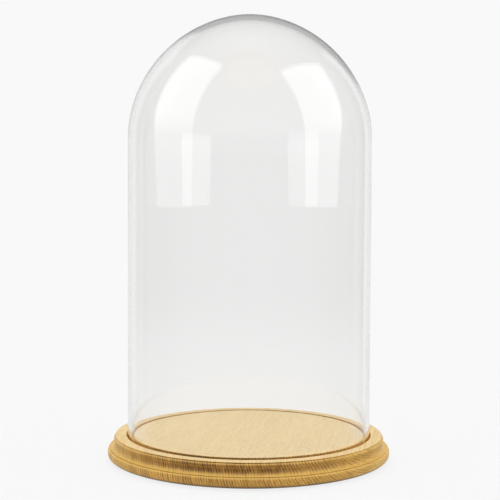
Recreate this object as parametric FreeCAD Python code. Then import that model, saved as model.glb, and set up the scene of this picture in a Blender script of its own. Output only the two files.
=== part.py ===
import FreeCAD, Part

# Glass cloche: a clear bell of blown glass that stands in a groove round the top of a turned wooden base.
# Frame: +Z up, origin at the centre of the circle that the felt pads stand on. Millimetres.

import math
import os

V = FreeCAD.Vector

# --- Driving dimensions -------------------------------------------------------------------------------

# Glass bell
GLASS_DIAMETER = 230.0        # outside, on the straight wall
GLASS_HEIGHT = 402.0          # lip to crown, outside
GLASS_WALL = 3.2              # straight wall
CROWN_EXTRA = 1.4             # how much thicker the glass is at the crown than in the straight wall
LIP_ROUND = 0.6               # rounding of the two edges of the ground lip
CROWN_RATIO = 0.857           # radius of the crown arc over the outside radius of the bell
SHOULDER_RATIO = 1.051        # radius of the shoulder arc over the same
CROWN_ANGLE = 13.5            # degrees from the axis where crown turns into shoulder
SHOULDER_ANGLE = 72.0         # degrees from the axis where shoulder turns into haunch

# Wooden base
BASE_THICKNESS = 21.9         # underside to the top of the rim
PLATFORM_RISE = 0.45          # platform above the rim
PLATFORM_ROUND = 0.5          # rounding of the platform's edge
GROOVE_DEPTH = 6.0            # below the rim
GROOVE_INNER_CLEARANCE = 2.4  # glass to platform
GROOVE_OUTER_CLEARANCE = 1.3  # glass to rim
RIM_WIDTH = 10.3              # flat top of the rim, from the groove to its outer edge
RIM_ROUND = 0.4               # rounding of the rim's inner edge
BEAD_DROP = 1.0               # top of the bead's circle below the rim
BEAD_RADIUS = 2.1             # bead under the rim
HOLLOW_RADIUS = 4.5           # hollow under the bead
HOLLOW_DROP = 11.25           # foot of the hollow below the rim
HOLLOW_SPREAD = 4.8           # foot of the hollow outside the rim's outer edge
QUIRK_HEIGHT = 0.7            # little sunk step between hollow and foot
QUIRK_DEPTH = 0.5
FOOT_PROUD = 2.4              # how far the foot stands out beyond the foot of the hollow
FOOT_ROUND_WIDTH = 1.6        # rounding of the foot's upper edge
FOOT_ROUND_HEIGHT = 3.1
UNDERCUT_WIDTH = 7.0          # rounding of the foot's lower edge
UNDERCUT_HEIGHT = 5.0

# Felt pads
PAD_DIAMETER = 22.0
PAD_THICKNESS = 1.0
PAD_INSET = 14.0              # from the edge of the flat underside to a pad's edge
PAD_COUNT = 4

# --- Places worked out from them ----------------------------------------------------------------------

GLASS_OUTER = GLASS_DIAMETER / 2.0
GLASS_INNER = GLASS_OUTER - GLASS_WALL

UNDERSIDE_Z = PAD_THICKNESS
RIM_Z = UNDERSIDE_Z + BASE_THICKNESS
PLATFORM_Z = RIM_Z + PLATFORM_RISE
GROOVE_Z = RIM_Z - GROOVE_DEPTH
CROWN_Z = GROOVE_Z + GLASS_HEIGHT

PLATFORM_RADIUS = GLASS_INNER - GROOVE_INNER_CLEARANCE
RIM_INNER = GLASS_OUTER + GROOVE_OUTER_CLEARANCE
RIM_OUTER = RIM_INNER + RIM_WIDTH
HOLLOW_FOOT_RADIUS = RIM_OUTER + HOLLOW_SPREAD
FOOT_RADIUS = HOLLOW_FOOT_RADIUS + FOOT_PROUD
UNDERSIDE_RADIUS = FOOT_RADIUS - UNDERCUT_WIDTH

BEAD_Z = RIM_Z - BEAD_DROP - BEAD_RADIUS
HOLLOW_FOOT_Z = RIM_Z - HOLLOW_DROP
FOOT_TOP_Z = HOLLOW_FOOT_Z - QUIRK_HEIGHT

PAD_CIRCLE = UNDERSIDE_RADIUS - PAD_INSET - PAD_DIAMETER / 2.0


# --- Geometry helpers ---------------------------------------------------------------------------------


def line(a, b):
    """Straight edge between two (radius, height) points of a half section."""
    return Part.LineSegment(V(a[0], 0, a[1]), V(b[0], 0, b[1])).toShape()


def arc(a, middle, b):
    """Circular edge through three (radius, height) points of a half section."""
    return Part.Arc(V(a[0], 0, a[1]), V(middle[0], 0, middle[1]), V(b[0], 0, b[1])).toShape()


def on_circle(centre, radius, angle):
    """Point of a circle, its angle counted in radians from the outward direction towards +Z."""
    return (centre[0] + radius * math.cos(angle), centre[1] + radius * math.sin(angle))


def turned(edges):
    """Solid of revolution about Z from the closed chain of edges of its half section."""
    face = Part.Face(Part.Wire(edges))
    solid = face.revolve(V(0, 0, 0), V(0, 0, 1), 360)
    if solid.Volume < 0:
        solid.reverse()
    return solid


def quarter_round(corner, start, end):
    """Rounded corner: the arc from start to end that is tangent to both legs of a square corner."""
    reach = 1.0 - math.sqrt(0.5)
    middle = (
        corner[0] + (start[0] + end[0] - 2 * corner[0]) * reach,
        corner[1] + (start[1] + end[1] - 2 * corner[1]) * reach,
    )
    return arc(start, middle, end)


def quarter_ellipse(centre, start, end):
    """Quarter of an ellipse about its centre, from start to end, which lie on its two axes."""
    ends = sorted((start, end), key=lambda point: -math.dist(centre, point))
    major, minor, middle = (V(point[0], 0, point[1]) for point in (*ends, centre))
    ellipse = Part.Ellipse(major, minor, middle)
    return Part.ArcOfEllipse(ellipse, 0.0, math.pi / 2.0).toShape()


# --- Glass bell ---------------------------------------------------------------------------------------


def dome_arcs(wall):
    """Three tangent arcs from crown to straight wall, a wall's thickness inside the outer surface.

    Returns the edges, the crown point and the point where the straight wall starts.
    """
    crown_radius = CROWN_RATIO * GLASS_OUTER
    shoulder_radius = SHOULDER_RATIO * GLASS_OUTER
    crown_angle = math.radians(CROWN_ANGLE)
    shoulder_angle = math.radians(SHOULDER_ANGLE)
    reach = crown_radius * math.sin(crown_angle)
    reach += shoulder_radius * (math.sin(shoulder_angle) - math.sin(crown_angle))
    haunch_radius = (GLASS_OUTER - reach) / (1.0 - math.sin(shoulder_angle))

    # the thicker crown: the inner surface is the offset surface let down by CROWN_EXTRA
    let_down = CROWN_EXTRA * wall / GLASS_WALL
    centre = (0.0, CROWN_Z - let_down - crown_radius)
    crown = (0.0, centre[1] + crown_radius - wall)
    previous = crown_radius
    start = 0.0
    edges = []
    for radius, end in (
        (crown_radius, crown_angle),
        (shoulder_radius, shoulder_angle),
        (haunch_radius, math.pi / 2.0),
    ):
        # each centre lies on the line through the last centre and the joining point
        centre = (
            centre[0] + (previous - radius) * math.sin(start),
            centre[1] + (previous - radius) * math.cos(start),
        )
        points = [
            (
                centre[0] + (radius - wall) * math.sin(angle),
                centre[1] + (radius - wall) * math.cos(angle),
            )
            for angle in (start, (start + end) / 2.0, end)
        ]
        edges.append(arc(*points))
        previous = radius
        start = end
    return edges, crown, points[2]


def glass_dome():
    """The bell: straight wall, domed top, flat ground lip with eased edges."""
    outer, outer_crown, outer_spring = dome_arcs(0.0)
    inner, inner_crown, inner_spring = dome_arcs(GLASS_WALL)
    lip_outer = (GLASS_OUTER, GROOVE_Z + LIP_ROUND)
    lip_out_flat = (GLASS_OUTER - LIP_ROUND, GROOVE_Z)
    lip_in_flat = (GLASS_INNER + LIP_ROUND, GROOVE_Z)
    lip_inner = (GLASS_INNER, GROOVE_Z + LIP_ROUND)
    edges = outer + [
        line(outer_spring, lip_outer),
        quarter_round((GLASS_OUTER, GROOVE_Z), lip_outer, lip_out_flat),
        line(lip_out_flat, lip_in_flat),
        quarter_round((GLASS_INNER, GROOVE_Z), lip_in_flat, lip_inner),
        line(lip_inner, inner_spring),
    ]
    edges += inner[::-1]
    edges.append(line(inner_crown, outer_crown))
    return turned(edges)


# --- Wooden base --------------------------------------------------------------------------------------


def groove_edges():
    """From the platform's top, down into the groove, across and up to the rim's flat top."""
    platform_edge = (PLATFORM_RADIUS - PLATFORM_ROUND, PLATFORM_Z)
    platform_side = (PLATFORM_RADIUS, PLATFORM_Z - PLATFORM_ROUND)
    groove_in = (PLATFORM_RADIUS, GROOVE_Z)
    groove_out = (RIM_INNER, GROOVE_Z)
    rim_side = (RIM_INNER, RIM_Z - RIM_ROUND)
    rim_edge = (RIM_INNER + RIM_ROUND, RIM_Z)
    return [
        line((0.0, PLATFORM_Z), platform_edge),
        quarter_round((PLATFORM_RADIUS, PLATFORM_Z), platform_edge, platform_side),
        line(platform_side, groove_in),
        line(groove_in, groove_out),
        line(groove_out, rim_side),
        quarter_round((RIM_INNER, RIM_Z), rim_side, rim_edge),
        line(rim_edge, (RIM_OUTER, RIM_Z)),
    ]


def bead_and_hollow():
    """The bead under the rim and the hollow under it, whose circles touch, down to the level foot."""
    hollow = (HOLLOW_FOOT_RADIUS, HOLLOW_FOOT_Z + HOLLOW_RADIUS)
    reach = BEAD_RADIUS + HOLLOW_RADIUS
    rise = BEAD_Z - hollow[1]
    bead = (hollow[0] - math.sqrt(reach**2 - rise**2), BEAD_Z)

    # angles where the bead meets the rim's side and where it meets the hollow
    start = math.acos((RIM_OUTER - bead[0]) / BEAD_RADIUS)
    slope = math.asin(rise / reach)
    bead_top, bead_middle, touch = (
        on_circle(bead, BEAD_RADIUS, angle) for angle in (start, (start - slope) / 2.0, -slope)
    )
    level = 1.5 * math.pi
    hollow_middle = on_circle(hollow, HOLLOW_RADIUS, (math.pi - slope + level) / 2.0)
    foot = (HOLLOW_FOOT_RADIUS, HOLLOW_FOOT_Z)
    return [
        line((RIM_OUTER, RIM_Z), bead_top),
        arc(bead_top, bead_middle, touch),
        arc(touch, hollow_middle, foot),
    ]


def foot_edges():
    """From the foot of the hollow over the quirk and the rounded foot to the underside."""
    quirk_radius = HOLLOW_FOOT_RADIUS - QUIRK_DEPTH
    round_start = (FOOT_RADIUS - FOOT_ROUND_WIDTH, FOOT_TOP_Z)
    round_end = (FOOT_RADIUS, FOOT_TOP_Z - FOOT_ROUND_HEIGHT)
    undercut = (FOOT_RADIUS, UNDERSIDE_Z + UNDERCUT_HEIGHT)
    underside = (UNDERSIDE_RADIUS, UNDERSIDE_Z)
    return [
        line((HOLLOW_FOOT_RADIUS, HOLLOW_FOOT_Z), (quirk_radius, HOLLOW_FOOT_Z)),
        line((quirk_radius, HOLLOW_FOOT_Z), (quirk_radius, FOOT_TOP_Z)),
        line((quirk_radius, FOOT_TOP_Z), round_start),
        quarter_ellipse((round_start[0], round_end[1]), round_start, round_end),
        line(round_end, undercut),
        quarter_ellipse((underside[0], undercut[1]), undercut, underside),
        line(underside, (0.0, UNDERSIDE_Z)),
        line((0.0, UNDERSIDE_Z), (0.0, PLATFORM_Z)),
    ]


def wooden_base():
    """The turned base: platform, groove for the glass, flat rim, bead, hollow and rounded foot."""
    return turned(groove_edges() + bead_and_hollow() + foot_edges())


# --- Felt pads ----------------------------------------------------------------------------------------


def felt_pad(index):
    """One round pad under the base; the pads share a circle, turned so that none is in line with X."""
    angle = 2.0 * math.pi * (index + 0.5) / PAD_COUNT
    place = V(PAD_CIRCLE * math.cos(angle), PAD_CIRCLE * math.sin(angle), 0.0)
    return Part.makeCylinder(PAD_DIAMETER / 2.0, PAD_THICKNESS, place)


def main():
    """Write each piece to its own file."""
    nodes = {"glass_dome": glass_dome(), "wooden_base": wooden_base()}
    for index in range(PAD_COUNT):
        nodes[f"felt_pad_{index + 1}"] = felt_pad(index)
    os.makedirs("parts", exist_ok=True)
    for name, shape in nodes.items():
        shape.exportStep(f"parts/{name}.step")
        box = shape.optimalBoundingBox(False)
        print(
            f"{name}: valid {shape.isValid()}, volume {shape.Volume / 1000.0:.2f} cm3, "
            f"z {box.ZMin:.2f} to {box.ZMax:.2f}, width {box.XLength:.2f}"
        )


main()
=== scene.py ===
"""Looks of a glass cloche: a blown glass bell that stands in the groove of a turned wooden base.

Everything is in metres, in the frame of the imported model: +Z up, origin where the base stands.
"""

import logging
import math
from dataclasses import dataclass, field
from enum import Enum
from typing import Any, Callable

import bpy
from mathutils import Matrix, Vector, noise

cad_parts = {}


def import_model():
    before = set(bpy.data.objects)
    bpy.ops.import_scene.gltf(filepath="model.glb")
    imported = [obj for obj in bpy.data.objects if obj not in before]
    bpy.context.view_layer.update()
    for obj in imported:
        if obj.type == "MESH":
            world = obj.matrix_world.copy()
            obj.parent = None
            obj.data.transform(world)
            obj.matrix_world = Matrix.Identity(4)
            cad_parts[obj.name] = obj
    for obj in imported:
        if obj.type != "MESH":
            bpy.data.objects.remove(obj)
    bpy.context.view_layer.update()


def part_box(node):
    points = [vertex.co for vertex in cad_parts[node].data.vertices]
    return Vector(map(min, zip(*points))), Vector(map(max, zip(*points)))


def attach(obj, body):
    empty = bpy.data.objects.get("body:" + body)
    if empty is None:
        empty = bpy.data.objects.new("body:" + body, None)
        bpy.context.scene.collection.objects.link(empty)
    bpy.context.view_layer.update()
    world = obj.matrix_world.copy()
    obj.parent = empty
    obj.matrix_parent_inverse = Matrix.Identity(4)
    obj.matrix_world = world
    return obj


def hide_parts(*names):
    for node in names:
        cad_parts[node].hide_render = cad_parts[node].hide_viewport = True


LOG = logging.getLogger("cloche")
MM = 0.001
TINY = 1e-7                           # metres; what is nearer is the same point
WHITE = (1.0, 1.0, 1.0, 1.0)
SOFT = {"interpolation_type": "SMOOTHSTEP"}    # for a range whose ends are eased

Point = tuple[float, float]
Piece = bpy.types.Object
Material = bpy.types.Material
Tree = bpy.types.NodeTree
Node = bpy.types.Node
Socket = bpy.types.NodeSocket


class Side(Enum):
    """The side of the studio that a lamp stands on."""

    LEFT = "left"
    RIGHT = "right"


class Body(Enum):
    """The bodies of the frame that pieces ride on."""

    BASE = "base"
    DOME = "dome"


def linear(code: str) -> tuple[float, float, float, float]:
    """Turns an sRGB hex colour into the linear colour that shaders take.

    Args:
        code: Colour as "#RRGGBB".

    Returns:
        Linear red, green, blue and an alpha of 1.
    """
    parts = [int(code[i : i + 2], 16) / 255.0 for i in (1, 3, 5)]
    lin = [p / 12.92 if p <= 0.04045 else ((p + 0.055) / 1.055) ** 2.4 for p in parts]
    return lin[0], lin[1], lin[2], 1.0


def add_node(
    tree: Tree, kind: str, inputs: dict[int | str, Any] | None = None, **settings: Any
) -> Node:
    """Adds a node with its settings, input values and incoming links.

    Args:
        tree: Node tree that takes the node.
        kind: Node type without the word that they all start with, such as "Math".
        inputs: By input name or number, a value, the socket to link or the node whose result to link.
        settings: Attributes of the node, such as its operation.

    Returns:
        The new node.
    """
    node = tree.nodes.new(f"ShaderNode{kind}")
    for name, value in settings.items():
        setattr(node, name, value)
    for key, value in (inputs or {}).items():
        if isinstance(value, Node):
            value = next(output for output in value.outputs if output.enabled)
        if isinstance(value, Socket):
            tree.links.new(value, node.inputs[key])
        else:
            node.inputs[key].default_value = value
    return node


def new_material(name: str) -> tuple[Material, Tree]:
    """Makes an empty node material.

    Args:
        name: Its name.

    Returns:
        The material and its node tree.
    """
    material = bpy.data.materials.new(name)
    material.use_nodes = True
    material.node_tree.nodes.clear()
    return material, material.node_tree


# --- Turned shapes ---


@dataclass
class HalfSection:
    """Outline of a turned piece as points of radius and height, drawn with a moving pen.

    Attributes:
        points: Points drawn so far.
        guard: Distance of the extra point beside each end of a straight run, which keeps flat faces
            flat under smooth shading.
    """

    points: list[Point] = field(default_factory=list)
    guard: float = 0.25 * MM

    def start(self, at: Point) -> "HalfSection":
        """Puts the pen down and returns the section itself."""
        self.points.append(at)
        return self

    def line(self, end: Point, pieces: int = 1) -> "HalfSection":
        """Draws a straight run.

        Args:
            end: Where the run ends.
            pieces: How many stretches it is cut into.

        Returns:
            The section itself.
        """
        begin = self.points[-1]
        length = math.dist(begin, end)
        marks = [i / pieces for i in range(1, pieces)]
        if length > 4.0 * self.guard:
            marks = [self.guard / length, *marks, 1.0 - self.guard / length]
        for t in [*marks, 1.0]:
            self.points.append((begin[0] + (end[0] - begin[0]) * t, begin[1] + (end[1] - begin[1]) * t))
        return self

    def bend(self, centre: Point, reach: Point, start: float, end: float, steps: int) -> "HalfSection":
        """Draws part of an ellipse or circle.

        Args:
            centre: Centre of the ellipse.
            reach: Its half widths along radius and height.
            start: First angle in degrees, from the outward direction towards +Z.
            end: Last angle in degrees.
            steps: Number of stretches.

        Returns:
            The section itself.
        """
        for i in range(steps + 1):
            angle = math.radians(start + (end - start) * i / steps)
            point = (centre[0] + reach[0] * math.cos(angle), centre[1] + reach[1] * math.sin(angle))
            if math.dist(point, self.points[-1]) > TINY:
                self.points.append(point)
        return self

    def turned(self, name: str, segments: int, crease: float) -> Piece:
        """Turns the outline about Z into a closed mesh.

        Args:
            name: Name of the object and its mesh.
            segments: Facets round the axis.
            crease: Angle in degrees above which an edge is drawn sharp.

        Returns:
            The new object, linked to the scene.
        """
        vertices: list[tuple[float, float, float]] = []
        rings: list[list[int]] = []
        for radius, height in self.points:
            first = len(vertices)
            count = 1 if radius < TINY else segments
            for i in range(count):
                angle = 2.0 * math.pi * i / segments
                vertices.append((radius * math.cos(angle), radius * math.sin(angle), height))
            rings.append([first + i % count for i in range(segments)])
        faces: list[tuple[int, ...]] = []
        for upper, lower in zip(rings[:-1], rings[1:]):
            for i in range(segments):
                j = (i + 1) % segments
                corners = dict.fromkeys((upper[j], upper[i], lower[i], lower[j]))
                faces.append(tuple(corners))
        mesh = bpy.data.meshes.new(name)
        mesh.from_pydata(vertices, [], faces)
        mesh.validate()
        mesh.shade_smooth()
        mesh.set_sharp_from_angle(angle=math.radians(crease))
        piece = bpy.data.objects.new(name, mesh)
        bpy.context.scene.collection.objects.link(piece)
        return piece


def ripple(piece: Piece, depth: Callable[[Vector], float]) -> None:
    """Moves each vertex inwards along its normal.

    Args:
        piece: Object whose mesh is moved.
        depth: Distance in metres as a function of the vertex's place.
    """
    mesh = piece.data
    normals = [Vector(v.vector) for v in mesh.vertex_normals]
    for vertex, normal in zip(mesh.vertices, normals):
        vertex.co -= normal * depth(vertex.co)
    mesh.update()


# --- Finishes ---


@dataclass(frozen=True)
class BlownGlass:
    """Clear soda-lime glass, blown and fire polished: mirror smooth, faintly tinted in the thick."""

    ior: float = 1.52
    body_colour: str = "#E6E8DC"
    body_density: float = 12.0

    def material(self) -> Material:
        """Builds the glass: a refracting surface round a body that takes a little light.

        Returns:
            The material.
        """
        material, tree = new_material("soda_lime_glass_blown")
        inputs = {"Base Color": WHITE, "Roughness": 0.0, "IOR": self.ior, "Transmission Weight": 1.0}
        surface = add_node(tree, "BsdfPrincipled", inputs)
        # a percent or two is lost in the two walls, a little more of the blue: the clear parts look a
        # trifle warm and the thick edges grey-green
        inputs = {"Color": linear(self.body_colour), "Density": self.body_density}
        body = add_node(tree, "VolumeAbsorption", inputs)
        add_node(tree, "OutputMaterial", {"Surface": surface, "Volume": body})
        return material


@dataclass(frozen=True)
class Grain:
    """One set of lines in the wood, as noise drawn out along the grain and along the growth rings.

    Attributes:
        across: Width of a line, measured away from the pith.
        around: Length along the growth ring, on the end grain.
        along: Length along the grain.
        detail: Octaves of finer noise inside it.
        low: Strength of the noise at which a line starts to show.
        high: Strength at which it shows in full.
    """

    across: float
    around: float
    along: float
    detail: float
    low: float
    high: float


@dataclass(frozen=True)
class BaseMarks:
    """Places on the turned base that its finish follows.

    Attributes:
        rim: Height of the rim.
        groove: Outer radius of the groove.
        foot: Height of the foot's upper edge.
        quirk: Height of the quirk above it.
        underside: Height of the underside.
    """

    rim: float
    groove: float
    foot: float
    quirk: float
    underside: float


@dataclass(frozen=True)
class Spot:
    """What the wood's nodes know of the point that they colour.

    Attributes:
        tree: Node tree of the wood.
        marks: Places on the base that its finish follows.
        place: The point.
        normal: Direction that its face looks in.
        height: Height of the point.
        figure: Darkness of the wood's figure.
        end: Share of end grain.
    """

    tree: Tree
    marks: BaseMarks
    place: Socket
    normal: Socket
    height: Socket
    figure: Node
    end: Node

    def off_level(self, level: float) -> Node:
        """How far the point lies above or below a level."""
        above = add_node(self.tree, "Math", {0: self.height, 1: level}, operation="SUBTRACT")
        return add_node(self.tree, "Math", {0: above}, operation="ABSOLUTE")


@dataclass(frozen=True)
class OiledRubberwood:
    """Rubberwood, turned, stained honey and oiled to a satin sheen.

    The grain runs nearly from front to back through the whole blank, so the platform shows long fine
    lines and the front and back show end grain, where the growth rings stand upright on the left and
    lean over towards the right. The pith of the tree lies above the blank on the right.
    """

    grain_turn: float = 9.0           # degrees that the grain is turned from front to back
    pith_x: float = 128.0 * MM        # the tree's centre beside the blank's axis
    pith_z: float = 47.0 * MM         # and above the floor
    ring_spacing: float = 2.3 * MM    # growth ring to growth ring
    wander: float = 1.2 * MM          # how far a ring strays from a true circle
    wander_scale: float = 22.0        # how often it strays in a metre across the grain
    wander_along: float = 0.3         # and along it, as a share of that
    late_rise: float = 2.4            # how late in the year the wood darkens
    late_fall: float = 0.86           # share of the year after which it pales again
    late_gain: float = 1.7

    years: Grain = Grain(1.5 * MM, 26.0 * MM, 160.0 * MM, 1.0, 0.32, 0.66)
    fibres: Grain = Grain(0.55 * MM, 6.0 * MM, 34.0 * MM, 2.0, 0.40, 0.62)
    patches: Grain = Grain(16.0 * MM, 30.0 * MM, 70.0 * MM, 1.0, 0.30, 0.70)
    # real pores are 0.2 mm wide, too fine to show: drawn twice as wide
    pores: Grain = Grain(0.42 * MM, 0.5 * MM, 6.0 * MM, 0.0, 0.60, 0.72)
    wet_year: float = 0.2             # how much of the late wood shows in a wet year
    late_shown: float = 0.66          # shares of late wood, fibres and patches in the figure
    fibres_shown: float = 0.40
    patches_shown: float = 0.20
    paling: float = 0.08              # taken off all over, so that early wood stays clear
    pores_shown: float = 0.35

    lit_top_light: str = "#E8D09D"       # platform and rim: painted paler, standing in for sheen and light from above
    lit_top_dark: str = "#D9BF8D"
    side_light: str = "#E4BA5F"       # mouldings, in the wood's own oiled colour
    side_dark: str = "#C1953D"
    end_light: str = "#EBB355"        # end grain, which drank it
    end_dark: str = "#62390D"
    pore: str = "#8F6530"
    unwiped: str = "#DDAA52"          # the groove, where the oil was never wiped off
    groove_edge: Point = (0.3 * MM, 0.1 * MM)    # outside its wall, where its colour starts and is full
    end_onset: float = 1.6            # how late a face that turns across the grain drinks like its end
    hollow_shade: float = 0.46              # painted shade: how much darker end grain is in hollow and groove
    hollow_shade_start: float = 1.2 * MM      # above the foot's upper edge
    hollow_shade_full: float = 3.6 * MM
    lit_top_depth: float = 1.2 * MM    # how far below the rim the painted paler top reaches
    lit_top_level: Point = (0.6, 0.97)            # how level a face is, where that starts and is full
    painted_highlight: float = 0.60                 # painted highlight: how much the arrises beside the quirk are lightened
    highlight_above: float = 0.4 * MM       # middle of the highlit band above the foot's upper edge
    highlight_reach: float = 2.2 * MM
    painted_shade: float = 0.85               # painted shade: how much the lower edge is darkened
    quirk_shade: float = 0.45         # and the quirk
    # colour of the painted shade in the quirk and at the lower edge
    shade_colour: str = "#4E3312"
    quirk_edge: Point = (0.6, 0.3)    # shares of the quirk's height off its middle: its start, and full
    low_edge: float = 3.4 * MM        # height of the band of painted shade at the lower edge

    oil_ior: float = 1.47
    roughness: Point = (0.41, 0.56)   # of the clear wood, and of the darkest lines
    relief: float = 0.05 * MM
    relief_strength: float = 0.6
    pores_sunk: float = 0.6           # shares of pores and figure in the relief
    figure_sunk: float = 0.4

    def material(self, marks: BaseMarks) -> Material:
        """Builds the wood from the tree's own geometry, so that the figure runs through the blank.

        Args:
            marks: Places on the base that its finish follows.

        Returns:
            The material.
        """
        material, tree = new_material("rubberwood_oiled")
        surface = add_node(tree, "NewGeometry").outputs
        place, normal = surface["Position"], surface["Normal"]
        height = add_node(tree, "SeparateXYZ", {0: place}).outputs["Z"]
        figure, pores = self.figure(tree)
        end = self.end_share(tree, normal)
        spot = Spot(tree, marks, place, normal, height, figure, end)

        colours = {0: end, 6: self.side_grain(spot), 7: self.end_grain(spot)}
        turned = add_node(tree, "Mix", colours, data_type="RGBA")
        # level faces near the rim are painted paler for sheen and light from above; the grain in them is
        # real
        colours = {0: figure, 6: linear(self.lit_top_light), 7: linear(self.lit_top_dark)}
        flat = add_node(tree, "Mix", colours, data_type="RGBA")
        colours = {0: self.lit_top_share(spot), 6: self.painted_light(spot, turned), 7: flat}
        wood = add_node(tree, "Mix", colours, data_type="RGBA")
        dots = add_node(tree, "Math", {0: pores, 1: self.pores_shown}, operation="MULTIPLY")
        dotted = add_node(tree, "Mix", {0: dots, 6: wood, 7: linear(self.pore)}, data_type="RGBA")

        # the oil fills no pores: they and the dark lines stay a little sunk, and the sheen breaks there
        shallow = add_node(tree, "Math", {0: figure, 1: self.figure_sunk}, operation="MULTIPLY")
        inputs = {0: pores, 1: self.pores_sunk, 2: shallow}
        sunk = add_node(tree, "Math", inputs, operation="MULTIPLY_ADD")
        inputs = {"Strength": self.relief_strength, "Distance": self.relief, "Height": sunk}
        bump = add_node(tree, "Bump", inputs, invert=True)
        inputs = {0: figure, 3: self.roughness[0], 4: self.roughness[1]}
        roughness = add_node(tree, "MapRange", inputs)
        # thin oil on sanded wood: a broad satin highlight, with the grain clear below it
        inputs = {"Base Color": dotted, "Roughness": roughness, "IOR": self.oil_ior, "Normal": bump}
        shader = add_node(tree, "BsdfPrincipled", inputs)
        add_node(tree, "OutputMaterial", {"Surface": shader})
        return material

    def growth_rings(self, tree: Tree) -> tuple[Node, Node]:
        """Finds each point's place in the tree.

        Args:
            tree: Node tree of the wood.

        Returns:
            Late wood, 0 to 1, and the place as distance from the pith, way round it, and way along it.
        """
        place = add_node(tree, "TexCoord").outputs["Object"]
        turn = (0.0, 0.0, math.radians(self.grain_turn))
        grained = add_node(tree, "Mapping", {"Vector": place, "Rotation": turn})
        stretch = (1.0, self.wander_along, 1.0)
        stretched = add_node(tree, "VectorMath", {0: grained, 1: stretch}, operation="MULTIPLY")
        inputs = {"Vector": stretched, "Scale": self.wander_scale, "Detail": 2.0, "Roughness": 0.5}
        stray = add_node(tree, "TexNoise", inputs)
        parts = add_node(tree, "SeparateXYZ", {0: grained}).outputs
        aside = add_node(tree, "Math", {0: parts["X"], 1: self.pith_x}, operation="SUBTRACT")
        below = add_node(tree, "Math", {0: self.pith_z, 1: parts["Z"]}, operation="SUBTRACT")
        from_pith = add_node(tree, "CombineXYZ", {"X": aside, "Z": below})
        radius = add_node(tree, "VectorMath", {0: from_pith}, operation="LENGTH")
        inputs = {0: stray, 1: 2.0 * self.wander, 2: radius}
        strayed = add_node(tree, "Math", inputs, operation="MULTIPLY_ADD")
        angle = add_node(tree, "Math", {0: aside, 1: below}, operation="ARCTAN2")
        round_it = add_node(tree, "Math", {0: angle, 1: self.pith_x}, operation="MULTIPLY")
        ringed = add_node(tree, "CombineXYZ", {"X": strayed, "Y": round_it, "Z": parts["Y"]})
        years = add_node(tree, "Math", {0: strayed, 1: self.ring_spacing}, operation="DIVIDE")
        season = add_node(tree, "Math", {0: years}, operation="FRACT")
        # slow rise through early wood, soft fall over the last seventh of the year
        rise = add_node(tree, "Math", {0: season, 1: self.late_rise}, operation="POWER")
        inputs = {0: season, 1: 1.0, 2: self.late_fall}
        fall = add_node(tree, "MapRange", inputs, **SOFT)
        risen = add_node(tree, "Math", {0: rise, 1: fall}, operation="MULTIPLY")
        late = add_node(tree, "Math", {0: risen, 1: self.late_gain}, operation="MULTIPLY", use_clamp=True)
        return late, ringed

    def drawn_out(self, tree: Tree, ringed: Node, grain: Grain) -> Node:
        """Draws one set of lines.

        Args:
            tree: Node tree of the wood.
            ringed: Place in the tree, as growth_rings gives it.
            grain: The set of lines.

        Returns:
            Strength of the lines, 0 to 1.
        """
        scale = (1.0 / grain.across, 1.0 / grain.around, 1.0 / grain.along)
        drawn = add_node(tree, "VectorMath", {0: ringed, 1: scale}, operation="MULTIPLY")
        inputs = {"Vector": drawn, "Scale": 1.0, "Detail": grain.detail, "Roughness": 0.6}
        lines = add_node(tree, "TexNoise", inputs)
        inputs = {0: lines, 1: grain.low, 2: grain.high}
        return add_node(tree, "MapRange", inputs, **SOFT)

    def figure(self, tree: Tree) -> tuple[Node, Node]:
        """Draws the figure, and the pores on their own.

        Args:
            tree: Node tree of the wood.

        Returns:
            Darkness of the figure and strength of the pores, both 0 to 1.
        """
        late, ringed = self.growth_rings(tree)
        years, fibres, patches, pores = (
            self.drawn_out(tree, ringed, grain)
            for grain in (self.years, self.fibres, self.patches, self.pores)
        )
        # late wood is dark where a year was dry, and hardly shows where it was wet
        inputs = {0: years, 1: 1.0 - self.wet_year, 2: self.wet_year}
        dry = add_node(tree, "Math", inputs, operation="MULTIPLY_ADD")
        season = add_node(tree, "Math", {0: late, 1: dry}, operation="MULTIPLY")
        sets = (season, self.late_shown), (fibres, self.fibres_shown), (patches, self.patches_shown)
        figure = -self.paling
        for lines, shown in sets:
            inputs = {0: lines, 1: shown, 2: figure}
            figure = add_node(tree, "Math", inputs, operation="MULTIPLY_ADD")
        figure.use_clamp = True
        return figure, pores

    def end_share(self, tree: Tree, normal: Socket) -> Node:
        """Finds how far a face is end grain.

        Args:
            tree: Node tree of the wood.
            normal: The face's direction.

        Returns:
            1 where the face looks along the grain, 0 where it lies along it.
        """
        turn = math.radians(90.0 - self.grain_turn)
        grain = (math.cos(turn), math.sin(turn), 0.0)
        along = add_node(tree, "VectorMath", {0: normal, 1: grain}, operation="DOT_PRODUCT")
        either = add_node(tree, "Math", {0: along}, operation="ABSOLUTE")
        return add_node(tree, "Math", {0: either, 1: self.end_onset}, operation="POWER")

    def side_grain(self, spot: Spot) -> Node:
        """Colours the side grain: oiled, with an even gold in the groove, which nobody wiped.

        Args:
            spot: The point that is coloured.

        Returns:
            The colour.
        """
        tree = spot.tree
        colours = {0: spot.figure, 6: linear(self.side_light), 7: linear(self.side_dark)}
        oiled = add_node(tree, "Mix", colours, data_type="RGBA")
        inputs = {0: spot.place, 1: (1.0, 1.0, 0.0)}
        flattened = add_node(tree, "VectorMath", inputs, operation="MULTIPLY")
        radius = add_node(tree, "VectorMath", {0: flattened}, operation="LENGTH")
        start, full = (spot.marks.groove + margin for margin in self.groove_edge)
        in_groove = add_node(tree, "MapRange", {0: radius, 1: start, 2: full})
        colours = {0: in_groove, 6: oiled, 7: linear(self.unwiped)}
        return add_node(tree, "Mix", colours, data_type="RGBA")

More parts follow.
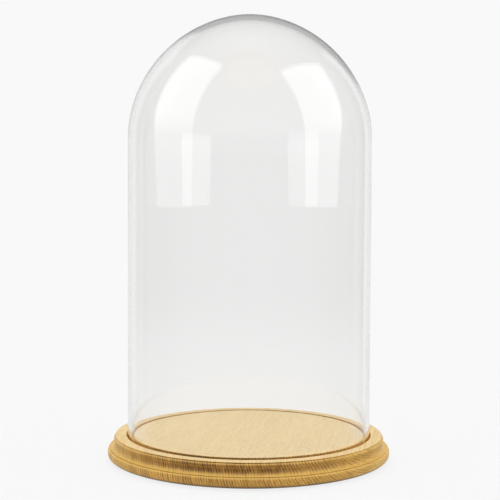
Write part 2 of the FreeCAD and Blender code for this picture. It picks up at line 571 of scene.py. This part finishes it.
    def end_grain(self, spot: Spot) -> Node:
        """Colours the end grain, with painted shade that darkens it in hollow and groove.

        Args:
            spot: The point that is coloured.

        Returns:
            The colour.
        """
        tree = spot.tree
        # painted shade: end grain above the foot, in hollow and groove, is darkened
        start, full = (spot.marks.foot + height for height in (self.hollow_shade_start, self.hollow_shade_full))
        inputs = {0: spot.height, 1: start, 2: full}
        above = add_node(tree, "MapRange", inputs, **SOFT)
        hollow_shade = add_node(tree, "Math", {0: above, 1: self.hollow_shade}, operation="MULTIPLY")
        inputs = {0: spot.end, 1: hollow_shade, 2: spot.figure}
        share = add_node(tree, "Math", inputs, operation="MULTIPLY_ADD", use_clamp=True)
        colours = {0: share, 6: linear(self.end_light), 7: linear(self.end_dark)}
        return add_node(tree, "Mix", colours, data_type="RGBA")

    def painted_light(self, spot: Spot, wood: Node) -> Node:
        """Paints a highlight on the arrises beside the quirk, and shade in the quirk and along the lower
        edge.

        Args:
            spot: The point that is coloured.
            wood: Its colour so far.

        Returns:
            The colour.
        """
        tree, marks = spot.tree, spot.marks
        # painted highlight: a band over the arrises beside the quirk is lightened
        away = spot.off_level(marks.foot + self.highlight_above)
        inputs = {0: away, 1: self.highlight_reach, 2: 0.0, 4: self.painted_highlight}
        highlit = add_node(tree, "MapRange", inputs, **SOFT)
        colours = {0: highlit, 6: wood, 7: linear(self.side_light)}
        highlit_wood = add_node(tree, "Mix", colours, data_type="RGBA")

        # painted shade: a dark line in the quirk, on end grain, and a dark band along the lower edge
        away = spot.off_level(marks.foot + marks.quirk / 2.0)
        start, full = (share * marks.quirk for share in self.quirk_edge)
        line = add_node(tree, "MapRange", {0: away, 1: start, 2: full, 4: self.quirk_shade})
        in_quirk = add_node(tree, "Math", {0: line, 1: spot.end}, operation="MULTIPLY")
        start, full = (marks.underside + height for height in (self.low_edge, self.low_edge / 2.0))
        at_edge = add_node(tree, "MapRange", {0: spot.height, 1: start, 2: full, 4: self.painted_shade})
        painted_shade = add_node(tree, "Math", {0: in_quirk, 1: at_edge}, operation="MAXIMUM")
        colours = {0: painted_shade, 6: highlit_wood, 7: linear(self.shade_colour)}
        return add_node(tree, "Mix", colours, data_type="RGBA")

    def lit_top_share(self, spot: Spot) -> Node:
        """Finds where faces are painted paler for sheen and top light: the level ones on platform and
        rim.

        Args:
            spot: The point that is coloured.

        Returns:
            Share of the painted paler colour, 0 to 1.
        """
        level = add_node(spot.tree, "SeparateXYZ", {0: spot.normal}).outputs["Z"]
        start, full = self.lit_top_level
        faces_up = add_node(spot.tree, "MapRange", {0: level, 1: start, 2: full})
        start = spot.marks.rim - self.lit_top_depth
        full = spot.marks.rim + self.lit_top_depth / 2.0
        reached = add_node(spot.tree, "MapRange", {0: spot.height, 1: start, 2: full})
        return add_node(spot.tree, "Math", {0: faces_up, 1: reached}, operation="MULTIPLY")


@dataclass(frozen=True)
class PressedFelt:
    """Brown wool felt, pressed: no weave, a dull nap of short crossing fibres."""

    colour: str = "#4A3526"
    fleck: str = "#6B5241"
    tuft: float = 1.0 * MM
    tangle: float = 2.5          # how far the fibres are bent out of their way
    relief: float = 0.15 * MM
    relief_strength: float = 0.8
    roughness: float = 0.95
    nap_sheen: float = 0.4
    nap_roughness: float = 0.5

    def material(self) -> Material:
        """Builds the felt: flecked colour, full roughness and a little sheen from the nap.

        Returns:
            The material.
        """
        material, tree = new_material("wool_felt_pressed")
        place = add_node(tree, "TexCoord").outputs["Object"]
        inputs = {"Vector": place, "Scale": 1.0 / self.tuft, "Detail": 6.0}
        nap = add_node(tree, "TexNoise", {**inputs, "Roughness": 0.75, "Distortion": self.tangle})
        colours = {0: nap, 6: linear(self.colour), 7: linear(self.fleck)}
        flecked = add_node(tree, "Mix", colours, data_type="RGBA")
        inputs = {"Strength": self.relief_strength, "Distance": self.relief, "Height": nap}
        bump = add_node(tree, "Bump", inputs)
        inputs = {"Base Color": flecked, "Roughness": self.roughness, "Normal": bump}
        sheen = {"Sheen Weight": self.nap_sheen, "Sheen Roughness": self.nap_roughness}
        shader = add_node(tree, "BsdfPrincipled", {**inputs, **sheen})
        add_node(tree, "OutputMaterial", {"Surface": shader})
        return material


def by_path(tree: Tree, path: Any, direct: Any, lighting: Any, mirrored: Any) -> Node:
    """Chooses a brightness by what the light has met on its way.

    Args:
        tree: Node tree that takes the nodes.
        path: Outputs of its light path node.
        direct: Brightness seen straight on or through clear glass, as a number or a node.
        lighting: Brightness for light that falls on matt surfaces.
        mirrored: Brightness for light that is mirrored on its way to the eye.

    Returns:
        The node that gives the brightness.
    """
    value = direct
    for depth, other in ((path["Glossy Depth"], mirrored), (path["Diffuse Depth"], lighting)):
        share = add_node(tree, "Math", {0: depth, 1: 0.5}, operation="GREATER_THAN")
        value = add_node(tree, "Mix", {0: share, 2: value, 3: other}, data_type="FLOAT")
    return value


@dataclass(frozen=True)
class StudioPaper:
    """Matt white background paper, lit from all round, so that it hardly takes a shadow."""

    white: float
    albedo: float = 0.10         # the share of its brightness that a shadow can take away
    falling: float = 1.29        # soft light that falls on it
    bounce: float = 0.65         # its whiteness as it lights matt surfaces
    fade_start: float = 0.35     # where the sheet starts to melt into the surroundings
    fade_end: float = 0.75

    def material(self) -> Material:
        """Builds the paper: mostly its own glow, with a little diffuse light for a faint shadow.

        Returns:
            The material.
        """
        material, tree = new_material("background_paper")
        path = add_node(tree, "LightPath").outputs
        place = add_node(tree, "NewGeometry").outputs["Position"]
        shade = self.albedo * self.falling
        glow = by_path(tree, path, self.white - shade, 0.0, self.white - shade)
        albedo = by_path(tree, path, self.albedo, self.bounce, self.albedo)
        inputs = {"Base Color": albedo, "Roughness": 1.0, "Specular IOR Level": 0.0}
        glowing = {"Emission Color": WHITE, "Emission Strength": glow}
        shader = add_node(tree, "BsdfPrincipled", {**inputs, **glowing})
        out = add_node(tree, "VectorMath", {0: place}, operation="LENGTH")
        gone = add_node(tree, "MapRange", {0: out, 1: self.fade_start, 2: self.fade_end}, **SOFT)
        mirrored = add_node(tree, "Math", {0: path["Glossy Depth"], 1: 0.5}, operation="GREATER_THAN")
        clear = add_node(tree, "BsdfTransparent")
        share = add_node(tree, "Math", {0: gone, 1: mirrored}, operation="MAXIMUM")
        mixed = add_node(tree, "MixShader", {0: share, 1: shader, 2: clear})
        add_node(tree, "OutputMaterial", {"Surface": mixed})
        material.cycles.emission_sampling = "NONE"
        return material


# --- Pieces ---


@dataclass
class GlassBell:
    """The blown bell: straight wall, three tangent arcs over the top, and a flat ground lip.

    The outer radius and the heights of lip and crown come from the frame.
    """

    wall: float = 3.2 * MM
    crown_extra: float = 1.4 * MM  # how much thicker the crown is
    lip_round: float = 0.6 * MM
    crown_ratio: float = 0.857     # radius of the crown's arc, as a share of the bell's
    shoulder_ratio: float = 1.051  # and of the shoulder's
    crown_angle: float = 13.5      # degrees off the axis where the crown's arc ends
    shoulder_angle: float = 72.0   # and the shoulder's
    wave_depth: float = 0.10 * MM
    wave_length: float = 75.0 * MM
    segments: int = 256
    wall_rings: int = 48
    lip_steps: int = 5
    arc_step: float = 1.5          # degrees to a stretch of the dome
    crease: float = 60.0

    def build(self) -> Piece:
        """Builds the bell and gives it its glass.

        Returns:
            The bell, riding on the dome.
        """
        low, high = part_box("glass_dome")
        outer, lip, crown = high[0], low[2], high[2]
        inner = outer - self.wall
        section = HalfSection().start((0.0, crown))
        spring = self.dome(section, outer, crown, 0.0, False)
        section.line((outer, lip + self.lip_round), self.wall_rings)
        edge = self.lip_round
        section.bend((outer - edge, lip + edge), (edge, edge), 0.0, -90.0, self.lip_steps)
        section.line((inner + edge, lip))
        section.bend((inner + edge, lip + edge), (edge, edge), -90.0, -180.0, self.lip_steps)
        section.line((inner, spring - self.crown_extra), self.wall_rings)
        self.dome(section, outer, crown, self.wall, True)
        bell = section.turned("bell", self.segments, self.crease)
        ripple(bell, self.wave)
        bell.data.materials.append(BlownGlass().material())
        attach(bell, Body.DOME.value)
        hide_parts("glass_dome")
        return bell

    def dome(
        self, section: HalfSection, outer: float, crown: float, wall: float, inwards: bool
    ) -> float:
        """Draws the three arcs of the top on one of its surfaces.

        Args:
            section: Outline that takes the arcs.
            outer: Outside radius of the bell.
            crown: Height of the crown, outside.
            wall: Distance of this surface inside the outer one.
            inwards: True to draw from the straight wall up to the crown.

        Returns:
            Height where the straight wall meets the arcs.
        """
        radii = [self.crown_ratio * outer, self.shoulder_ratio * outer]
        ends = [math.radians(self.crown_angle), math.radians(self.shoulder_angle), math.pi / 2.0]
        reach = radii[0] * math.sin(ends[0]) + radii[1] * (math.sin(ends[1]) - math.sin(ends[0]))
        radii.append((outer - reach) / (1.0 - math.sin(ends[1])))
        let_down = self.crown_extra if wall > 0.0 else 0.0
        centre = (0.0, crown - let_down - radii[0])
        arcs = []
        begin, previous = 0.0, radii[0]
        for radius, end in zip(radii, ends):
            shift = previous - radius
            centre = (centre[0] + shift * math.sin(begin), centre[1] + shift * math.cos(begin))
            steps = round(math.degrees(end - begin) / self.arc_step)
            arcs.append((centre, radius - wall, begin, end, steps))
            begin, previous = end, radius
        for middle, radius, first, last, steps in reversed(arcs) if inwards else arcs:
            span = (90.0 - math.degrees(last), 90.0 - math.degrees(first))
            angles = span if inwards else span[::-1]
            section.bend(middle, (radius, radius), angles[0], angles[1], steps)
        if inwards:
            section.points[-1] = (0.0, section.points[-1][1])
        return centre[1]

    def wave(self, place: Vector) -> float:
        """Slow unevenness of blown glass, always inwards of the true surface."""
        return self.wave_depth * (1.0 + noise.noise(place / self.wave_length)) / 2.0


@dataclass
class TurnedBase:
    """The turned base: platform, groove, flat rim, bead, hollow, quirk and rounded foot.

    The foot's radius and the heights of underside and platform come from the frame.
    """

    platform_rise: float = 0.45 * MM
    platform_round: float = 0.5 * MM
    platform_gap: float = 2.4 * MM
    rim_gap: float = 1.3 * MM
    rim_width: float = 10.3 * MM
    rim_round: float = 0.4 * MM
    bead: float = 2.1 * MM             # radius of the bead over the hollow
    bead_drop: float = 1.0 * MM        # its top below the rim
    hollow: float = 4.5 * MM           # radius of the hollow
    hollow_drop: float = 11.25 * MM    # its foot below the rim
    hollow_spread: float = 4.8 * MM    # and outside the rim
    quirk_height: float = 0.7 * MM
    quirk_depth: float = 0.5 * MM
    round_width: float = 1.6 * MM      # half widths of the foot's upper rounding
    round_height: float = 3.1 * MM
    undercut_width: float = 7.0 * MM   # and of its lower one
    undercut_height: float = 5.0 * MM
    eased: float = 0.2 * MM
    segments: int = 320
    crease: float = 50.0
    eased_steps: int = 4
    soft_steps: int = 5
    round_steps: int = 14
    hollow_steps: int = 26
    platform_rings: int = 6
    rim_rings: int = 2
    underside_rings: int = 4

    def build(self) -> Piece:
        """Builds the base and gives it its wood.

        Returns:
            The base piece, riding on the base body.
        """
        bell_low, bell_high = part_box("glass_dome")
        low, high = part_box("wooden_base")
        section = self.outline(bell_high[0], bell_low[2], low[2], high[0], high[2])
        base = section.turned("base_turning", self.segments, self.crease)
        rim = high[2] - self.platform_rise
        foot = rim - self.hollow_drop - self.quirk_height
        groove = bell_high[0] + self.rim_gap
        marks = BaseMarks(rim, groove, foot, self.quirk_height, low[2])
        base.data.materials.append(OiledRubberwood().material(marks))
        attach(base, Body.BASE.value)
        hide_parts("wooden_base")
        return base

    def outline(
        self, glass: float, groove: float, underside: float, widest: float, platform: float
    ) -> HalfSection:
        """Draws the half section from the middle of the platform round to the middle of the underside.

        Args:
            glass: Outside radius of the bell.
            groove: Height of the groove's floor.
            underside: Height of the flat underside.
            widest: Largest radius of the foot.
            platform: Height of the platform.

        Returns:
            The outline.
        """
        platform_edge = glass - GlassBell().wall - self.platform_gap
        rim_inner = glass + self.rim_gap
        rim_outer = rim_inner + self.rim_width
        rim = platform - self.platform_rise
        ease = self.eased
        section = HalfSection().start((0.0, platform))
        soft = self.platform_round
        section.line((platform_edge - soft, platform), self.platform_rings)
        section.bend((platform_edge - soft, platform - soft), (soft, soft), 90.0, 0.0, self.soft_steps)
        section.line((platform_edge, groove))
        section.line((rim_inner, groove))
        soft = self.rim_round
        section.line((rim_inner, rim - soft))
        section.bend((rim_inner + soft, rim - soft), (soft, soft), 180.0, 90.0, self.soft_steps)
        section.line((rim_outer - ease, rim), self.rim_rings)
        section.bend((rim_outer - ease, rim - ease), (ease, ease), 90.0, 0.0, self.eased_steps)

        # bead over the hollow: their circles touch, so the one runs smoothly into the other
        foot = (rim_outer + self.hollow_spread, rim - self.hollow_drop)
        hollow = (foot[0], foot[1] + self.hollow)
        apart = self.bead + self.hollow
        rise = rim - self.bead_drop - self.bead - hollow[1]
        bead = (hollow[0] - math.sqrt(apart**2 - rise**2), hollow[1] + rise)
        start = math.degrees(math.acos((rim_outer - bead[0]) / self.bead))
        touch = math.degrees(math.asin(rise / apart))
        section.bend(bead, (self.bead, self.bead), start, -touch, self.round_steps)
        section.bend(hollow, (self.hollow, self.hollow), 180.0 - touch, 270.0, self.hollow_steps)

        foot_top = foot[1] - self.quirk_height
        neck = foot[0] - self.quirk_depth
        section.bend((foot[0], foot[1] - ease), (ease, ease), 90.0, -20.0, self.eased_steps)
        section.line((neck, foot[1] - 2.0 * ease))
        section.line((neck, foot_top))
        middle = (widest - self.round_width, foot_top - self.round_height)
        section.line((middle[0], foot_top))
        section.bend(middle, (self.round_width, self.round_height), 90.0, 0.0, self.round_steps)
        middle = (widest - self.undercut_width, underside + self.undercut_height)
        reach = (self.undercut_width, self.undercut_height)
        section.bend(middle, reach, 0.0, -90.0, self.round_steps)
        section.line((0.0, underside), self.underside_rings)
        return section


@dataclass
class FeltPads:
    """The round felt pads under the base, one piece each."""

    edge_round: float = 0.35 * MM
    ragged: float = 0.12 * MM
    rag_scale: float = 600.0       # rags to a metre
    count: int = 4
    segments: int = 72
    flat_rings: int = 3
    steps: int = 4
    crease: float = 80.0

    def build(self) -> list[Piece]:
        """Builds each pad where the frame has its node.

        Returns:
            The pads, riding on the base body.
        """
        felt = PressedFelt().material()
        pads = []
        for index in range(1, self.count + 1):
            node = f"felt_pad_{index}"
            low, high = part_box(node)
            pads.append(self.pad(node, low, high, felt))
        return pads

    def pad(self, node: str, low: Any, high: Any, felt: Material) -> Piece:
        """Builds one pad with a soft, slightly ragged edge.

        Args:
            node: CAD node that it stands for.
            low: Lowest corner of the node's box.
            high: Highest corner.
            felt: Its material.

        Returns:
            The pad.
        """
        radius = (high[0] - low[0]) / 2.0
        soft = self.edge_round
        section = HalfSection().start((0.0, high[2]))
        section.line((radius - soft, high[2]), self.flat_rings)
        section.bend((radius - soft, high[2] - soft), (soft, soft), 90.0, 0.0, self.steps)
        section.line((radius, low[2] + soft))
        section.bend((radius - soft, low[2] + soft), (soft, soft), 0.0, -90.0, self.steps)
        section.line((0.0, low[2]), self.flat_rings)
        piece = section.turned(f"pad_{node[-1]}", self.segments, self.crease)
        for vertex in piece.data.vertices:
            around = Vector((vertex.co.x, vertex.co.y, 0.0)) * self.rag_scale
            inwards = self.ragged * (1.0 + noise.noise(around + Vector((0.0, 0.0, float(node[-1])))))
            length = math.hypot(vertex.co.x, vertex.co.y)
            if length > radius / 2.0:
                vertex.co.x *= 1.0 - inwards / length
                vertex.co.y *= 1.0 - inwards / length
        middle = ((low[0] + high[0]) / 2.0, (low[1] + high[1]) / 2.0, 0.0)
        piece.data.transform(Matrix.Translation(middle))
        piece.data.materials.append(felt)
        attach(piece, Body.BASE.value)
        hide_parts(node)
        return piece


# --- Studio ---


@dataclass
class SoftBox:
    """A soft box beside the bell, leaning over it; the bell mirrors it as a tall bright window.

    The surroundings already hold its light, so the sheet itself only shows in mirrorings.
    """

    side: Side
    centre: tuple[float, float, float]
    width: float
    height: float
    turn: float                # degrees that it is turned about Z from facing +Y
    lean: float                # degrees that its top leans over the bell
    radiance: float
    foot: float                # radiance at its lower edge
    foot_end: float = 0.05     # shares of its height where the dimmer foot ends
    full_start: float = 0.45   # and the full radiance starts

    def build(self) -> Piece:
        """Builds the lamp's diffuser sheet.

        Returns:
            The sheet.
        """
        name = f"soft_box_{self.side.value}"
        half, tall = self.width / 2.0, self.height / 2.0
        corners = [(-half, 0.0, -tall), (half, 0.0, -tall), (half, 0.0, tall), (-half, 0.0, tall)]
        mesh = bpy.data.meshes.new(name)
        mesh.from_pydata(corners, [], [(3, 2, 1, 0)])
        sheet = bpy.data.objects.new(name, mesh)
        lean = Matrix.Rotation(math.radians(-self.lean), 4, "X")
        turn = Matrix.Rotation(math.radians(self.turn), 4, "Z")
        sheet.matrix_world = Matrix.Translation(self.centre) @ turn @ lean
        sheet.visible_camera = False
        sheet.visible_diffuse = False
        sheet.visible_shadow = False
        mesh.materials.append(self.material(name))
        bpy.context.scene.collection.objects.link(sheet)
        return sheet

    def material(self, name: str) -> Material:
        """Builds the diffuser: glows for light that the glass mirrors, else lets light past.

        Args:
            name: Name of the soft box.

        Returns:
            The material.
        """
        material, tree = new_material(f"{name}_diffuser")
        path = add_node(tree, "LightPath").outputs
        mirrored = add_node(tree, "Math", {0: path["Glossy Depth"], 1: 0.5}, operation="GREATER_THAN")
        first = add_node(tree, "Math", {0: path["Diffuse Depth"], 1: 0.5}, operation="LESS_THAN")
        shown = add_node(tree, "Math", {0: mirrored, 1: first}, operation="MULTIPLY")
        place = add_node(tree, "TexCoord").outputs["Generated"]
        height = add_node(tree, "SeparateXYZ", {0: place}).outputs["Z"]
        # the lamp hangs in the upper part of the box, so its foot is dimmer
        inputs = {0: height, 1: self.foot_end, 2: self.full_start, 3: self.foot, 4: self.radiance}
        radiance = add_node(tree, "MapRange", inputs, **SOFT)
        glow = add_node(tree, "Emission", {"Strength": radiance})
        clear = add_node(tree, "BsdfTransparent")
        mixed = add_node(tree, "MixShader", {0: shown, 1: clear, 2: glow})
        add_node(tree, "OutputMaterial", {"Surface": mixed})
        material.cycles.emission_sampling = "NONE"
        return material


@dataclass
class Studio:
    """White paper sweep in a dimmer room, with a soft box on each side and soft light from above.

    The room's walls are dim in front and lighter beside the paper; above them and on the floor more
    light comes back. Bearings are degrees off straight behind, to the right, and elevations degrees
    above the level.
    """

    white: float = 0.945
    floor_radius: float = 0.8
    floor_rings: int = 12
    floor_segments: int = 96
    floor_crease: float = 60.0

    light_low: float = 0.15             # soft light for matt surfaces, from all round
    light_high: float = 2.30            # more from straight above
    light_steep: float = 3.0            # how closely that is gathered overhead
    light_side: float = 0.90            # and more from the side of each soft box
    light_level: float = 0.1            # height of a direction at which the side light is full

    wall: Point = (0.20, 0.50)          # brightness as the glass mirrors it: in front, and behind
    ground: Point = (0.47, 0.68)
    upper: Point = (0.39, 0.56)         # above the walls
    paper: float = 0.90
    wall_turn: Point = (95.0, 55.0)     # bearings to either side, over which front turns into back
    upper_turn: Point = (80.0, 20.0)
    ground_edge: Point = (-4.2, -9.0)   # elevations over which ground takes over from wall
    wall_top: Point = (2.2, 3.6)        # and the upper part from it
    paper_right: Point = (44.0, 42.0)   # bearings over which the paper starts
    paper_left: Point = (-53.0, -41.0)
    paper_top: Point = (16.0, 10.0)     # elevations over which it starts, straight behind
    climb: float = 26.0                 # how much higher it reaches at its sides
    climb_left: Point = (-8.0, -22.0)   # bearings over which its upper edge climbs
    climb_right: Point = (21.0, 38.0)

    def build(self) -> None:
        """Builds floor, surroundings and lamps."""
        self.floor()
        self.surroundings()
        SoftBox(
            side=Side.RIGHT,
            centre=(0.332, -0.151, 0.440),
            width=0.294,
            height=0.475,
            turn=57.8,
            lean=31.4,
            radiance=1.87,
            foot=1.15,
        ).build()
        SoftBox(
            side=Side.LEFT,
            centre=(-0.264, -0.115, 0.449),
            width=0.244,
            height=0.453,
            turn=299.6,
            lean=20.5,
            radiance=1.87,
            foot=0.92,
        ).build()

    def floor(self) -> None:
        """Lays the paper as a large flat disc."""
        section = HalfSection().start((0.0, 0.0))
        section.line((self.floor_radius, 0.0), self.floor_rings)
        sheet = section.turned("floor", self.floor_segments, self.floor_crease)
        sheet.data.materials.append(StudioPaper(self.white).material())

    def surroundings(self) -> None:
        """Sets the surroundings: white seen directly or through glass, a studio where it mirrors."""
        world = bpy.data.worlds.new("studio")
        world.use_nodes = True
        tree = world.node_tree
        tree.nodes.clear()
        direction = add_node(tree, "TexCoord").outputs["Generated"]
        parts = add_node(tree, "SeparateXYZ", {0: direction}).outputs
        path = add_node(tree, "LightPath").outputs
        lighting, mirrored = self.soft_light(tree, parts), self.mirrored(tree, parts)
        strength = by_path(tree, path, self.white, lighting, mirrored)
        shader = add_node(tree, "Background", {"Color": WHITE, "Strength": strength})
        add_node(tree, "OutputWorld", {"Surface": shader})
        world.cycles.sampling_method = "NONE"
        bpy.context.scene.world = world

    def soft_light(self, tree: Tree, parts: Any) -> Node:
        """Makes the light for matt surfaces: most from above, more from both sides than in between.

        Args:
            tree: Node tree of the surroundings.
            parts: X, Y and Z of the direction.

        Returns:
            Its brightness.
        """
        rise = add_node(tree, "Math", {0: parts["Z"], 1: 0.0}, operation="MAXIMUM")
        steep = add_node(tree, "Math", {0: rise, 1: self.light_steep}, operation="POWER")
        inputs = {0: steep, 1: self.light_high, 2: self.light_low}
        above = add_node(tree, "Math", inputs, operation="MULTIPLY_ADD")
        squared = add_node(tree, "Math", {0: parts["X"], 1: parts["X"]}, operation="MULTIPLY")
        inputs = {0: parts["Z"], 1: -self.light_level, 2: self.light_level, 4: self.light_side}
        over = add_node(tree, "MapRange", inputs, **SOFT)
        return add_node(tree, "Math", {0: squared, 1: over, 2: above}, operation="MULTIPLY_ADD")

    def mirrored(self, tree: Tree, parts: Any) -> Node:
        """Makes the studio as the glass mirrors it.

        Args:
            tree: Node tree of the surroundings.
            parts: X, Y and Z of the direction.

        Returns:
            Its brightness.
        """
        flat = add_node(tree, "Math", {0: parts["X"], 1: parts["Y"]}, operation="ARCTAN2")
        bearing = add_node(tree, "Math", {0: flat}, operation="DEGREES")
        off = add_node(tree, "Math", {0: bearing}, operation="ABSOLUTE")
        rise = add_node(tree, "Math", {0: parts["Z"]}, operation="ARCSINE")
        elevation = add_node(tree, "Math", {0: rise}, operation="DEGREES")
        # each step leads from one brightness or edge to another while a direction passes two limits;
        # the paper's upper edge climbs towards both sides, as on a sweep that hangs between stands
        steps = (
            ("wall", off, self.wall_turn, *self.wall),
            ("ground", off, self.wall_turn, *self.ground),
            ("lower", elevation, self.ground_edge, "wall", "ground"),
            ("upper", off, self.upper_turn, *self.upper),
            ("room", elevation, self.wall_top, "lower", "upper"),
            ("behind", bearing, self.paper_right, "room", self.paper),
            ("sweep", bearing, self.paper_left, "room", "behind"),
            ("edge_left", bearing, self.climb_left, 0.0, self.climb),
            ("edge", bearing, self.climb_right, "edge_left", self.climb),
        )
        made: dict[str, Node] = {}
        for name, follow, (start, end), low, high in steps:
            inputs = {0: follow, 1: start, 2: end, 3: made.get(low, low), 4: made.get(high, high)}
            made[name] = add_node(tree, "MapRange", inputs, **SOFT)
        over = add_node(tree, "Math", {0: elevation, 1: made["edge"]}, operation="SUBTRACT")
        start, end = self.paper_top
        inputs = {0: over, 1: start, 2: end, 3: made["room"], 4: made["sweep"]}
        return add_node(tree, "MapRange", inputs, **SOFT)


@dataclass
class Viewpoint:
    """The camera: a long lens a metre away, a little above the middle of the bell."""

    place: tuple[float, float, float] = (0.00055, -1.0669, 0.2443)
    lens: float = 80.8           # millimetres, as the sensor is
    sensor: float = 36.0
    look_down: float = 2.515     # degrees
    roll: float = 0.26
    reach: float = 50.0          # metres, past the whole studio

    def build(self) -> None:
        """Builds the camera and makes it the scene's."""
        data = bpy.data.cameras.new("camera")
        data.sensor_width = self.sensor
        data.lens = self.lens
        data.clip_end = self.reach
        camera = bpy.data.objects.new("camera", data)
        tilt = Matrix.Rotation(math.radians(90.0 - self.look_down), 4, "X")
        roll = Matrix.Rotation(math.radians(self.roll), 4, "Z")
        camera.matrix_world = Matrix.Translation(self.place) @ tilt @ roll
        bpy.context.scene.collection.objects.link(camera)
        bpy.context.scene.camera = camera


def main() -> None:
    """Loads the frame and builds the camera, the pieces and the studio in order."""
    logging.basicConfig(level=logging.INFO, format="%(name)s: %(message)s")
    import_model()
    scene = bpy.context.scene
    scene.view_settings.view_transform = "Standard"
    # light that falls through the bell stays sharp, so that none of it is lost on the way
    scene.cycles.blur_glossy = 0.0
    Viewpoint().build()
    pieces = [GlassBell().build(), TurnedBase().build(), *FeltPads().build()]
    for piece in pieces:
        LOG.info("%s: %d faces", piece.name, len(piece.data.polygons))
    Studio().build()


if __name__ == "__main__":
    main()
